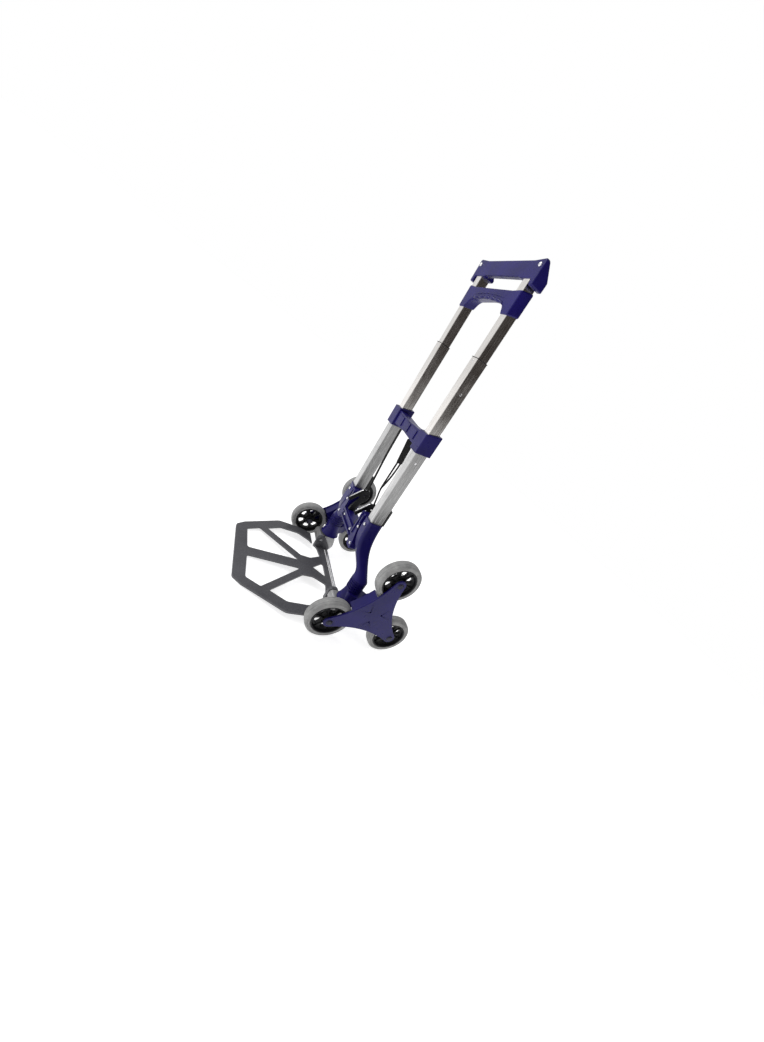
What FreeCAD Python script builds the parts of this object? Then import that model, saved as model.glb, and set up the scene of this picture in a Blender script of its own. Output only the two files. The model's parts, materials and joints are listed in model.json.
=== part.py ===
import FreeCAD, Part
import math
import os
import Sketcher
from FreeCAD import Placement, Rotation, Vector

# Stair climbing trolley. The model frame T has X to the right as seen from the load side, Y towards
# the user and Z up along the rails, with its origin midway between the two star axles. Every
# sub-part is drawn in T and then takes the STANCE placement, which leans the trolley onto the front
# edge of its toe plate and puts the origin on the floor, at the middle of the whole object's box.

SIZES = {
    # wheels and stars
    "wheel_radius": 62.5, "wheel_width": 28, "rim_radius": 48, "hub_radius": 14,
    "bolt_radius": 5, "running_gap": 0.05, "star_arm": 119, "star_face": 252,
    "star_plate": 5, "wheel_gap": 1.5, "arm_end": 16, "star_waist": 55, "flange_radius": 45,
    "axle_radius": 8,
    # rails
    "rail_half": 99, "rail_setback": 68, "lower_wide": 31, "lower_deep": 35, "lower_wall": 1.4,
    "lower_bottom": 152, "lower_top": 462, "middle_wide": 26.6,
    "middle_deep": 31, "middle_wall": 1.2,
    "middle_bottom": 366, "middle_top": 655, "inner_wide": 22.8,
    "inner_deep": 27.2, "inner_wall": 1.2,
    "inner_bottom": 562, "inner_top": 830, "slide_gap": 0.1, "pin_radius": 3.2,
    "pull_radius": 2, "spring_radius": 6, "spring_wire": 0.7, "spring_length": 62,
    # brackets
    "bracket_bottom": 414, "bracket_top": 466, "bracket_wall": 5, "bar_front": 18, "bar_back": -12,
    "leg_top": 193, "cord_half": 40,
    # release grip and handle
    "grip_bottom": 754, "grip_top": 806, "grip_wide": 27.5, "grip_deep": 31, "grip_travel": 12,
    "band_bottom": 824, "band_top": 862, "band_half": 130, "band_deep": 32, "band_thick": 12,
    # wheel pivots and toe plate
    "pivot_half": 160, "pivot_setback": 42, "pivot_radius": 9, "knuckle_radius": 24,
    "knuckle_bottom": 5, "knuckle_top": 40, "hinge_setback": 76, "hinge_drop": 52,
    "hinge_pin": 5, "plate_top": -81, "plate_thick": 6, "plate_reach": 350,
    "rod_setback": 39, "rod_drop": 80, "rod_radius": 4.5, "screw_radius": 2.5, "screw_head": 4.5,
}

doc = FreeCAD.newDocument("stair_trolley")
sheet = doc.addObject("Spreadsheet::Sheet", "sizes")
for row, (alias, number) in enumerate(SIZES.items(), start=1):
    sheet.set("A%d" % row, alias)
    sheet.set("B%d" % row, "%g" % number)
    sheet.setAlias("B%d" % row, alias)
doc.recompute()


def value(expression):
    """Number that an expression gives, such as 'sizes.lower_wide / 2'."""
    return float(sheet.evalExpression(str(expression)))


def size(alias):
    return value("sizes." + alias)


# Driving values that the stance and several sub-parts share.
AXLE_HEIGHT = size("star_arm") / 2 + size("wheel_radius")
PLATE_BOTTOM = size("plate_top") - size("plate_thick")
LEAN = math.asin(AXLE_HEIGHT / math.hypot(size("plate_reach"), PLATE_BOTTOM)) \
    - math.atan2(-PLATE_BOTTOM, size("plate_reach"))
STAR_TURN = 210 - math.degrees(LEAN)
FRONT = -size("plate_reach") * math.cos(LEAN) - size("plate_top") * math.sin(LEAN)
BACK = size("star_arm") * math.cos(math.radians(30)) + size("wheel_radius")
STANCE = Placement(Vector(0, -(FRONT + BACK) / 2, AXLE_HEIGHT),
                   Rotation(Vector(1, 0, 0), math.degrees(LEAN)))
SIDES = {"left": -1, "right": 1}
WHEELS = {"front": 0, "top": -120, "rear": 120}
WHEEL_INNER = size("star_face") - size("star_plate") - size("wheel_gap") - size("wheel_width")
INNER_PLATE = WHEEL_INNER - size("wheel_gap") - size("star_plate")
SUBPARTS = []


def place(item, label, local=None):
    """Give a finished sub-part its label and its place in the stance."""
    item.Label = label
    item.Placement = STANCE.multiply(local or item.Placement)
    SUBPARTS.append(item)
    return item


def body_named(label):
    body = doc.addObject("PartDesign::Body", label + "_body")
    body.AllowCompound = True
    return body


def sketch_on(body, role, level, geometry=()):
    """Sketch on one of the body's origin planes, lifted along its normal by an expression."""
    sketch = body.newObject("Sketcher::SketchObject", body.Name + "_sketch")
    plane = next(item for item in body.Origin.OriginFeatures if item.Role == role)
    sketch.AttachmentSupport = [(plane, "")]
    sketch.MapMode = "FlatFace"
    sketch.setExpression("AttachmentOffset.Base.z", str(level))
    if geometry:
        sketch.addGeometry(list(geometry), False)
    return sketch


def outline(corners):
    """Closed outline of lines and arcs from (x, y, corner radius) points."""
    points = [Vector(x, y, 0) for x, y, radius in corners]
    starts, ends, arcs = [], [], []
    for index, (x, y, radius) in enumerate(corners):
        point = points[index]
        to_last = (points[index - 1] - point).normalize()
        to_next = (points[(index + 1) % len(points)] - point).normalize()
        half = to_last.getAngle(to_next) / 2
        if not radius:
            starts.append(point)
            ends.append(point)
            continue
        trim = radius / math.tan(half)
        middle = (to_last + to_next).normalize()
        starts.append(point + to_last * trim)
        ends.append(point + to_next * trim)
        arcs.append(Part.Arc(starts[-1], point + middle * (radius / math.sin(half) - radius), ends[-1]))
    edges = []
    for index, end in enumerate(ends):
        start = starts[(index + 1) % len(ends)]
        side = points[(index + 1) % len(ends)] - points[index]
        if (start - end).dot(side) < -1e-6:
            raise RuntimeError("corner arcs overlap after %s" % points[index])
        if (start - end).Length > 1e-6:
            edges.append(Part.LineSegment(end, start))
    return edges + arcs


def box_corners(centre, wide, high, radius=0):
    x, y = centre
    return [(x - wide / 2, y - high / 2, radius), (x + wide / 2, y - high / 2, radius),
            (x + wide / 2, y + high / 2, radius), (x - wide / 2, y + high / 2, radius)]


def mirrored(corners):
    """The same outline, reflected in X and still running the same way round."""
    return [(-x, y, radius) for x, y, radius in reversed(corners)]


def rectangle(body, role, level, centre, wide, high):
    """Rectangle with its centre, width and height bound to expressions."""
    corner = ["(%s) - (%s) / 2" % pair for pair in zip(centre, (wide, high))]
    x, y, w, h = [value(item) for item in (*corner, wide, high)]
    points = [Vector(x, y, 0), Vector(x + w, y, 0), Vector(x + w, y + h, 0), Vector(x, y + h, 0)]
    lines = [Part.LineSegment(points[i], points[(i + 1) % 4]) for i in range(4)]
    sketch = sketch_on(body, role, level, lines)
    limits = [Sketcher.Constraint("Coincident", i, 2, (i + 1) % 4, 1) for i in range(4)]
    limits += [Sketcher.Constraint(kind, i) for i, kind in enumerate(("Horizontal", "Vertical") * 2)]
    limits += [Sketcher.Constraint("DistanceX", 0, 1, 0, 2, w),
               Sketcher.Constraint("DistanceY", 1, 1, 1, 2, h),
               Sketcher.Constraint("DistanceX", -1, 1, 0, 1, x),
               Sketcher.Constraint("DistanceY", -1, 1, 0, 1, y)]
    sketch.addConstraint(limits)
    for index, expression in enumerate((wide, high, *corner), start=8):
        sketch.setExpression("Constraints[%d]" % index, expression)
    return sketch


def circles(body, role, level, centres, radius):
    """Circles of one radius, each bound to the same expression."""
    rings = [Part.Circle(Vector(x, y, 0), Vector(0, 0, 1), value(radius)) for x, y in centres]
    sketch = sketch_on(body, role, level, rings)
    for index in range(len(rings)):
        sketch.addConstraint(Sketcher.Constraint("Radius", index, value(radius)))
        sketch.setExpression("Constraints[%d]" % index, str(radius))
    return sketch


def feature(body, kind, sketch, length=None, reverse=False):
    item = body.newObject("PartDesign::" + kind, body.Name + "_" + kind.lower())
    item.Profile = sketch
    if length is not None:
        item.setExpression("Length", str(length))
        item.Reversed = reverse
    doc.recompute()
    return item


def cut(body, sketch, length, reverse=False):
    """Pocket that has to take something away."""
    before = body.Shape.Volume
    item = feature(body, "Pocket", sketch, length, reverse)
    if item.Shape.Volume > before - 0.01:
        raise RuntimeError("%s cuts nothing" % item.Name)
    return item


def revolve(body, sketch, axis):
    item = feature(body, "Revolution", sketch)
    item.ReferenceAxis = (sketch, [axis])
    item.Angle = 360
    doc.recompute()
    return item


def round_edges(body, base, radius, chosen):
    """Fillet the edges that the test chosen(edge) picks."""
    names = ["Edge%d" % number for number, edge in enumerate(base.Shape.Edges, 1) if chosen(edge)]
    item = body.newObject("PartDesign::Fillet", body.Name + "_fillet")
    item.Base = (base, names)
    item.setExpression("Radius", str(radius))
    doc.recompute()
    return item


def upright(edge):
    return edge.Curve.TypeId == "Part::GeomLine" and abs(edge.tangentAt(edge.FirstParameter).z) > 0.99


def cylinder(name, radius, height, base, direction):
    """Part::Cylinder with its radius and height bound, from base along direction."""
    item = doc.addObject("Part::Cylinder", name)
    item.setExpression("Radius", str(radius))
    item.setExpression("Height", str(height))
    item.Placement = Placement(base, Rotation(Vector(0, 0, 1), direction))
    return item


def together(kind, name, items):
    item = doc.addObject("Part::" + kind, name)
    setattr(item, "Links" if kind == "Compound" else "Shapes", items)
    doc.recompute()
    return item


def screws(label, spots, direction, length):
    """Group of round-headed screws, each head on its spot and its shank running along direction."""
    made = []
    for spot in spots:
        head = cylinder("head", "sizes.screw_head", 2.2, spot - direction * 2.2, direction)
        shank = cylinder("shank", "sizes.screw_radius", length, spot, direction)
        made.append(together("MultiFuse", "screw", [head, shank]))
    return place(together("Compound", label, made), label)


# ---------------------------------------------------------------- rails

def rail_axis(side):
    return "%d * sizes.rail_half" % side, "-sizes.rail_setback"


def square_tube(label, side, bottom, top, wide, deep, wall, corner):
    """Drawn tube with rounded corners, standing on a rail axis."""
    body = body_named(label)
    centre = rail_axis(side)
    height = "%s - %s" % (top, bottom)
    skin = feature(body, "Pad", rectangle(body, "XY_Plane", bottom, centre, wide, deep), height)
    round_edges(body, skin, corner, upright)
    inside = ["%s - 2 * %s" % (item, wall) for item in (wide, deep)]
    cut(body, rectangle(body, "XY_Plane", top, centre, *inside), height)
    return body


def pin_hole(body, side, height, half_wide):
    """Hole for a lock pin through the tube's outer side wall."""
    spot = [(-size("rail_setback"), height)]
    wall_face = "%d * (sizes.rail_half + %s)" % (side, half_wide)
    cut(body, circles(body, "YZ_Plane", wall_face, spot, "sizes.pin_radius + 0.1"), 4, side < 0)


UPPER_PIN = size("inner_bottom") + 13
LOWER_PIN = size("middle_bottom") + 21
PULL_PIN = size("grip_bottom") + 8
PULL_REACH = 14
LEG_SCREW = 176
GRIP_SLOPE = 0.28


def lower_tube(name, side):
    """Outer rail: an extrusion with two shallow grooves down each side."""
    body = square_tube("lower_tube_" + name, side, "sizes.lower_bottom", "sizes.lower_top",
                       "sizes.lower_wide", "sizes.lower_deep", "sizes.lower_wall", 4)
    x, y = (value(item) for item in rail_axis(side))
    half = size("lower_wide") / 2
    grooves = []
    for face in (-1, 1):
        for offset in (-9, 3):
            grooves += outline(box_corners((x + face * half, y + offset), 1.6, 5))
    cut(body, sketch_on(body, "XY_Plane", "sizes.lower_top", grooves),
        "sizes.lower_top - sizes.lower_bottom")
    pin_hole(body, side, LOWER_PIN, "sizes.lower_wide / 2")
    cut(body, circles(body, "XZ_Plane", "sizes.rail_setback + sizes.lower_deep / 2 + 1",
                      [(side * size("rail_half"), LEG_SCREW)], "sizes.screw_radius"), 4)
    place(body, "lower_tube_" + name)


def middle_tube(name, side):
    body = square_tube("middle_tube_" + name, side, "sizes.middle_bottom", "sizes.middle_top",
                       "sizes.middle_wide", "sizes.middle_deep", "sizes.middle_wall", 3)
    pin_hole(body, side, UPPER_PIN, "sizes.middle_wide / 2")
    pin_hole(body, side, LOWER_PIN, "sizes.middle_wide / 2")
    place(body, "middle_tube_" + name)


def inner_tube(name, side):
    body = square_tube("inner_tube_" + name, side, "sizes.inner_bottom", "sizes.inner_top",
                       "sizes.inner_wide", "sizes.inner_deep", "sizes.inner_wall", 2.5)
    pin_hole(body, side, UPPER_PIN, "sizes.inner_wide / 2")
    slot = rectangle(body, "YZ_Plane", side * size("rail_half"),
                     ("-sizes.rail_setback", "%g + sizes.grip_travel / 2" % PULL_PIN),
                     "2 * sizes.pull_radius + 0.4", "sizes.grip_travel + 2 * sizes.pull_radius + 0.4")
    cut(body, slot, "sizes.inner_wide / 2 + 1", side < 0)
    place(body, "inner_tube_" + name)


def liners(label, levels, outer, inner, flange=None):
    """Pair of plastic liners, one on each rail, that guide or close a tube."""
    bottom, top = levels
    body = body_named(label)
    for side in SIDES.values():
        centre = rail_axis(side)
        feature(body, "Pad", rectangle(body, "XY_Plane", bottom, centre, *outer),
                "%s - (%s)" % (top, bottom))
        if flange:
            feature(body, "Pad", rectangle(body, "XY_Plane", top, centre, *flange), 1.5)
    for side in SIDES.values():
        cut(body, rectangle(body, "XY_Plane", "%s + 10" % top, rail_axis(side), *inner),
            "%s + 10 - (%s)" % (top, bottom))
    place(body, label)


def lock_pin(name, side, level, height, inner_face, outer_face):
    """Spring-loaded pin that locks two stages. It points outwards and is shown just drawn."""
    start = side * (size("rail_half") + inner_face)
    pin = cylinder(name, "sizes.pin_radius", outer_face - inner_face,
                   Vector(start, -size("rail_setback"), height), Vector(side, 0, 0))
    place(pin, "%s_lock_pin_%s" % (level, name))


# ---------------------------------------------------------------- bracket, cross member and legs

BAR_SCREWS = [(-39, 114), (39, 114)]
CHEEK_SCREWS = [(-76, 150), (76, 150), (-86, 98), (86, 98)]


def bracket_sleeve():
    """Side outline of a bracket sleeve, whose ends rise towards the back."""
    front = -size("rail_setback") - size("lower_deep") / 2 - size("bracket_wall")
    back = -size("rail_setback") + size("lower_deep") / 2 + size("bracket_wall")
    bottom, top = size("bracket_bottom"), size("bracket_top")
    return [(front, bottom - 2, 1), (back, bottom + 2, 1), (back, top + 7, 1), (front, top - 3, 1)]


def mid_bracket():
    """Bracket that holds the tops of the lower tubes, with a ribbed bar between its two sleeves."""
    body = body_named("mid_bracket")
    wide = size("lower_wide") + 2 * size("bracket_wall")
    for side in SIDES.values():
        sleeve = sketch_on(body, "YZ_Plane", side * size("rail_half") - wide / 2, outline(bracket_sleeve()))
        feature(body, "Pad", sleeve, "sizes.lower_wide + 2 * sizes.bracket_wall")
    half = size("rail_half")
    middle = (size("bracket_bottom") + size("bracket_top")) / 2
    bar = outline([(-half, middle - 20, 0), (0, middle - 15, 60), (half, middle - 20, 0),
                   (half, middle + 20, 0), (0, middle + 15, 60), (-half, middle + 20, 0)])
    joined = feature(body, "Pad", sketch_on(body, "XZ_Plane", "sizes.rail_setback + sizes.bar_back", bar),
                     "sizes.bar_front - sizes.bar_back")
    round_edges(body, joined, 3, lambda edge: upright(edge)
                and edge.Length > size("bracket_top") - size("bracket_bottom") - 6)
    for side in SIDES.values():
        centre = rail_axis(side)
        fit = ["sizes.lower_wide", "sizes.lower_deep"]
        cut(body, rectangle(body, "XY_Plane", "sizes.lower_top", centre, *fit),
            "sizes.lower_top - sizes.bracket_bottom + 4")
        slip = ["sizes.middle_wide + 1", "sizes.middle_deep + 1"]
        cut(body, rectangle(body, "XY_Plane", "sizes.bracket_top + 10", centre, *slip), 16)
    panels = []
    for x in (-48, 0, 48):
        panels += outline(box_corners((x, middle), 32, 24, 2))
    feature(body, "Pad", sketch_on(body, "XZ_Plane", "sizes.rail_setback + sizes.bar_front", panels), 2)
    place(body, "mid_bracket")


def cross_member():
    """H-shaped casting between the legs: two ribbed cheeks joined by a ribbed bar."""
    body = body_named("cross_member")
    cheek = [(52, 192, 4), (52, 112, 6), (68, 84, 8), (96, 84, 6), (95, 103, 6), (76.2, 150, 20),
             (76.8, 192, 2)]
    front = "sizes.rail_setback + 22"
    for corners in (cheek, mirrored(cheek)):
        feature(body, "Pad", sketch_on(body, "XZ_Plane", "sizes.rail_setback - 14", outline(corners)), 36)
    bar = outline(box_corners((0, 116), 112, 36))
    feature(body, "Pad", sketch_on(body, "XZ_Plane", "sizes.rail_setback - 12", bar), 32)
    ridges = outline(box_corners((0, 105), 110, 6)) + outline(box_corners((0, 127), 110, 6))
    for corners in ([(56, 190, 0), (56, 118, 0), (63, 118, 0), (63, 190, 0)],
                    [(71, 186, 0), (71, 162, 0), (76, 162, 0), (76, 186, 0)]):
        ridges += outline(corners) + outline(mirrored(corners))
    feature(body, "Pad", sketch_on(body, "XZ_Plane", "sizes.rail_setback + 19", ridges), 6)
    cut(body, circles(body, "XZ_Plane", front, CHEEK_SCREWS, "sizes.screw_radius"), 12)
    cut(body, circles(body, "XZ_Plane", "sizes.rail_setback + 20", BAR_SCREWS, "sizes.screw_radius"), 12)
    place(body, "cross_member")


LEG_SECTIONS = [  # height, centre x, centre y, width, depth and corner radius of the right leg
    (size("leg_top"), 99, -68, 40, 44, 9), (150, 102, -68, 44, 44, 10), (108, 118, -63, 41, 42, 12),
    (75, 141, -51, 35, 36, 14), (52, 156, -44, 39, 39, 18), (40, 160, -42, 47, 47, 23),
]


def leg(name, side):
    """Leg that takes the bottom of a rail and runs out to the ribbed sleeve of the wheel pivot."""
    label = "leg_" + name
    body = body_named(label)
    rings = []
    for height, x, y, wide, deep, corner in LEG_SECTIONS:
        rings.append(sketch_on(body, "XY_Plane", height,
                               outline(box_corners((side * x, y), wide, deep, corner))))
    loft = body.newObject("PartDesign::AdditiveLoft", label + "_loft")
    loft.Profile = rings[0]
    loft.Sections = rings[1:]
    doc.recompute()
    pivot = [(side * size("pivot_half"), -size("pivot_setback"))]
    drop = "sizes.knuckle_top - sizes.knuckle_bottom"
    core = circles(body, "XY_Plane", "sizes.knuckle_bottom", pivot, "sizes.knuckle_radius - 2.5")
    feature(body, "Pad", core, drop + " + 2")
    for rib in range(5):
        level = "sizes.knuckle_bottom + %g" % (rib * 7.5)
        feature(body, "Pad", circles(body, "XY_Plane", level, pivot, "sizes.knuckle_radius"), 4)
    cut(body, rectangle(body, "XY_Plane", "sizes.leg_top", rail_axis(side), "sizes.lower_wide",
                        "sizes.lower_deep"), "sizes.leg_top - sizes.lower_bottom")
    cut(body, circles(body, "XY_Plane", "sizes.knuckle_top + 6", pivot, "sizes.pivot_radius"), 60)
    cut(body, circles(body, "XZ_Plane", "sizes.rail_setback + 24", [(side * 99, LEG_SCREW)],
                      "sizes.screw_radius"), 8)
    place(body, label)


# ---------------------------------------------------------------- wheel pivots

def pivot_pins():
    """Steel pins that hang the wheel brackets and the hinge blocks from the legs."""
    pins = []
    for side in SIDES.values():
        base = Vector(side * size("pivot_half"), -size("pivot_setback"), -86)
        pins.append(cylinder("pivot_pin", "sizes.pivot_radius", "86 + sizes.knuckle_top + 4", base,
                             Vector(0, 0, 1)))
    place(together("Compound", "pivot_pins", pins), "pivot_pins")


TRUNK_TOP = size("knuckle_bottom") - 0.5
TRUNK_BOTTOM = -38


def wheel_bracket(name, side):
    """Trumpet-shaped trunk round the pivot pin, with an arm out to the star axle."""
    label = "wheel_bracket_" + name
    body = body_named(label)
    pivot = (side * size("pivot_half"), -size("pivot_setback"))
    rings = []
    for height, radius in ((TRUNK_TOP, 22), (-16, 25), (TRUNK_BOTTOM, 32)):
        rings.append(circles(body, "XY_Plane", height, [pivot], radius))
    loft = body.newObject("PartDesign::AdditiveLoft", label + "_trunk")
    loft.Profile = rings[0]
    loft.Sections = rings[1:]
    doc.recompute()
    arm = [(150, -62, 12), (184, -62, 14), (206, -24, 6), (206, 20, 8), (186, 20, 8), (146, -24, 12)]
    corners = arm if side > 0 else mirrored(arm)
    feature(body, "Pad", sketch_on(body, "XY_Plane", -30, outline(corners)), 31)
    boss_start = min(side * 186, side * 209)
    feature(body, "Pad", circles(body, "YZ_Plane", boss_start, [(0, 0)], 22), 23)
    cut(body, circles(body, "YZ_Plane", side * 180, [(0, 0)], "sizes.axle_radius"), 40, side > 0)
    cut(body, circles(body, "XY_Plane", 10, [pivot], "sizes.pivot_radius + sizes.running_gap"), 60)
    place(body, label)


def star_axle(name, side):
    """Axle shaft with a retaining ring at its outer end."""
    shaft = cylinder("axle_shaft", "sizes.axle_radius", 60, Vector(side * 182, 0, 0), Vector(side, 0, 0))
    ring = cylinder("axle_ring", "sizes.axle_radius + 3", 2, Vector(side * 240.5, 0, 0),
                    Vector(side, 0, 0))
    place(together("MultiFuse", "star_axle", [shaft, ring]), "star_axle_" + name)


# ---------------------------------------------------------------- stars

def polar(radius, degrees):
    angle = math.radians(degrees)
    return Vector(radius * math.cos(angle), radius * math.sin(angle), 0)


def star_outline(end_radius, waist):
    """Three rounded arm ends joined by arcs that come in to the waist."""
    reach = size("star_arm")
    far = (reach ** 2 - (end_radius - waist) ** 2) / (reach + 2 * (end_radius - waist))
    bend = far - waist
    edges = []
    for turn in (0, 120, 240):
        arm = STAR_TURN + turn
        tip = polar(reach, arm)
        before, after = polar(far, arm - 60), polar(far, arm + 60)
        start = tip + (before - tip).normalize() * end_radius
        end = tip + (after - tip).normalize() * end_radius
        following = polar(reach, arm + 120)
        joint = following + (after - following).normalize() * end_radius
        edges.append(Part.Arc(start, polar(reach + end_radius, arm), end))
        edges.append(Part.Arc(end, polar(far - bend, arm + 60), joint))
    return edges


def wheel_centres():
    return [tuple(polar(size("star_arm"), STAR_TURN + turn))[:2] for turn in WHEELS.values()]


def star_outer_plate(name, side):
    """Three-armed plate that carries the wheel bolts, with its outer edge rounded."""
    label = "star_outer_plate_" + name
    body = body_named(label)
    inner_face = size("star_face") - size("star_plate")
    start = min(side * inner_face, side * size("star_face"))
    far_face = start + size("star_plate")
    shape = star_outline(size("arm_end"), size("star_waist"))
    slab = feature(body, "Pad", sketch_on(body, "YZ_Plane", start, shape), "sizes.star_plate")
    shown = side * size("star_face")
    round_edges(body, slab, 1.5, lambda edge: abs(edge.CenterOfMass.x - shown) < 0.1)
    cut(body, circles(body, "YZ_Plane", far_face, wheel_centres(), "sizes.bolt_radius"), 10)
    spots = [tuple(polar(22, STAR_TURN + 60 + turn))[:2] for turn in (0, 120, 240)]
    cut(body, circles(body, "YZ_Plane", far_face, spots, 2.5), 10)
    place(body, label)


def star_inner_plate(name, side):
    """Round flange that closes the inner side of the star's hollow box."""
    label = "star_inner_plate_" + name
    body = body_named(label)
    start = min(side * INNER_PLATE, side * (INNER_PLATE + size("star_plate")))
    disc = circles(body, "YZ_Plane", start, [(0, 0)], "sizes.flange_radius")
    feature(body, "Pad", disc, "sizes.star_plate")
    far_face = start + size("star_plate")
    cut(body, circles(body, "YZ_Plane", far_face, [(0, 0)], "sizes.axle_radius + 1"), 10)
    place(body, label)


def star_body(name, side):
    """Hollow box between the two star plates, cut back round the wheels, with the axle's bush."""
    label = "star_body_" + name
    body = body_named(label)
    inner, outer = INNER_PLATE + size("star_plate"), size("star_face") - size("star_plate")
    start, end = sorted((side * inner, side * outer))
    shape = star_outline(size("arm_end") - 4, size("star_waist") - 3)
    feature(body, "Pad", sketch_on(body, "YZ_Plane", start, shape), outer - inner)
    cut(body, circles(body, "YZ_Plane", end, wheel_centres(), "sizes.wheel_radius + 4"), 60)
    bore = outer - inner - 5
    cut(body, circles(body, "YZ_Plane", side * inner, [(0, 0)], "sizes.axle_radius + sizes.running_gap"),
        bore, side > 0)
    ring_room = circles(body, "YZ_Plane", side * (outer - 7), [(0, 0)], "sizes.axle_radius + 3.5")
    cut(body, ring_room, 3, side > 0)
    place(body, label)


def star_bolts(name, side):
    """Bolts that carry the three wheels, with a domed head outside and a nut inside."""
    nut_face, nut_high = WHEEL_INNER - 0.5, 5
    bolts = []
    for y, z in wheel_centres():
        def along(x):
            return Vector(side * x, y, z)
        shank = cylinder("bolt_shank", "sizes.bolt_radius", size("star_face") - nut_face,
                         along(nut_face), Vector(side, 0, 0))
        head = doc.addObject("Part::Cone", "bolt_head")
        head.setExpression("Radius1", "sizes.bolt_radius + 4")
        head.setExpression("Radius2", "sizes.bolt_radius + 1")
        head.Height = 3.5
        head.Placement = Placement(along(size("star_face")), Rotation(Vector(0, 0, 1), Vector(side, 0, 0)))
        nut = doc.addObject("Part::Prism", "bolt_nut")
        nut.Polygon = 6
        nut.setExpression("Circumradius", "sizes.bolt_radius + 4")
        nut.Height = nut_high
        nut.Placement = Placement(along(nut_face - nut_high), Rotation(Vector(0, 0, 1), Vector(side, 0, 0)))
        bolts.append(together("MultiFuse", "star_bolt", [shank, head, nut]))
    place(together("Compound", "star_bolts", bolts), "star_bolts_" + name)


def wheel(name, side, spot, turn):
    """Grey tyre on a black hub with six windows, both turned about the wheel's own X axis."""
    half = size("wheel_width") / 2
    rim, outer = size("rim_radius"), size("wheel_radius")
    centre = polar(size("star_arm"), STAR_TURN + turn)
    local = Placement(Vector(side * (WHEEL_INNER + half), centre.x, centre.y), Rotation())
    tyre = body_named("tyre_%s_%s" % (spot, name))
    tread = [(-half, rim, 0), (half, rim, 0), (half, rim + 5, 1.5), (half - 1.5, rim + 7, 1),
             (half - 2, outer, 5), (2 - half, outer, 5), (1.5 - half, rim + 7, 1), (-half, rim + 5, 1.5)]
    revolve(tyre, sketch_on(tyre, "XY_Plane", 0, outline(tread)), "H_Axis")
    place(tyre, "tyre_%s_%s" % (spot, name), local)
    hub = body_named("wheel_hub_%s_%s" % (spot, name))
    bore, boss, web = size("bolt_radius") + size("running_gap"), size("hub_radius"), 5
    section = [(-half, bore, 0), (half, bore, 0), (half, boss, 2), (web, boss + 2, 2), (web, rim - 6, 2),
               (half, rim - 4, 1), (half, rim, 0), (-half, rim, 0), (-half, rim - 4, 1),
               (-web, rim - 6, 2), (-web, boss + 2, 2), (-half, boss, 2)]
    revolve(hub, sketch_on(hub, "XY_Plane", 0, outline(section)), "H_Axis")
    low, high, spread = boss + 5, rim - 11.5, 21
    windows = []
    for middle in range(30, 390, 60):
        corners = [(low, -spread, 3), (high, 3 - spread, 4), (high + 1.5, 0, 20), (high, spread - 3, 4),
                   (low, spread, 3)]
        windows += outline([(*tuple(polar(reach, middle + offset))[:2], corner)
                            for reach, offset, corner in corners])
    cut(hub, sketch_on(hub, "YZ_Plane", web, windows), 2 * web)
    place(hub, "wheel_hub_%s_%s" % (spot, name), local)


# ---------------------------------------------------------------- toe plate

BLOCK_INNER, BLOCK_OUTER = 132, 184


def hinge_block(name, side):
    """Grey block under the wheel bracket, with the toe plate's hinge at its front."""
    label = "hinge_block_" + name
    body = body_named(label)
    axis_y, axis_z = -size("hinge_setback"), -size("hinge_drop")
    profile = [(axis_y - 11, axis_z + 11, 10.9), (-24, axis_z + 11, 4), (-18, -72, 6), (-26, -92, 8),
               (axis_y + 8, -92, 8), (axis_y - 11, -64, 6)]
    start = min(side * BLOCK_INNER, side * BLOCK_OUTER)
    feature(body, "Pad", sketch_on(body, "YZ_Plane", start, outline(profile)), BLOCK_OUTER - BLOCK_INNER)
    pivot = [(side * size("pivot_half"), -size("pivot_setback"))]
    cut(body, circles(body, "XY_Plane", -30, pivot, "sizes.pivot_radius"), 56)
    pin = circles(body, "YZ_Plane", side * BLOCK_INNER, [(axis_y, axis_z)],
                  "sizes.hinge_pin + sizes.running_gap")
    cut(body, pin, 30, side > 0)
    place(body, label)


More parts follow.
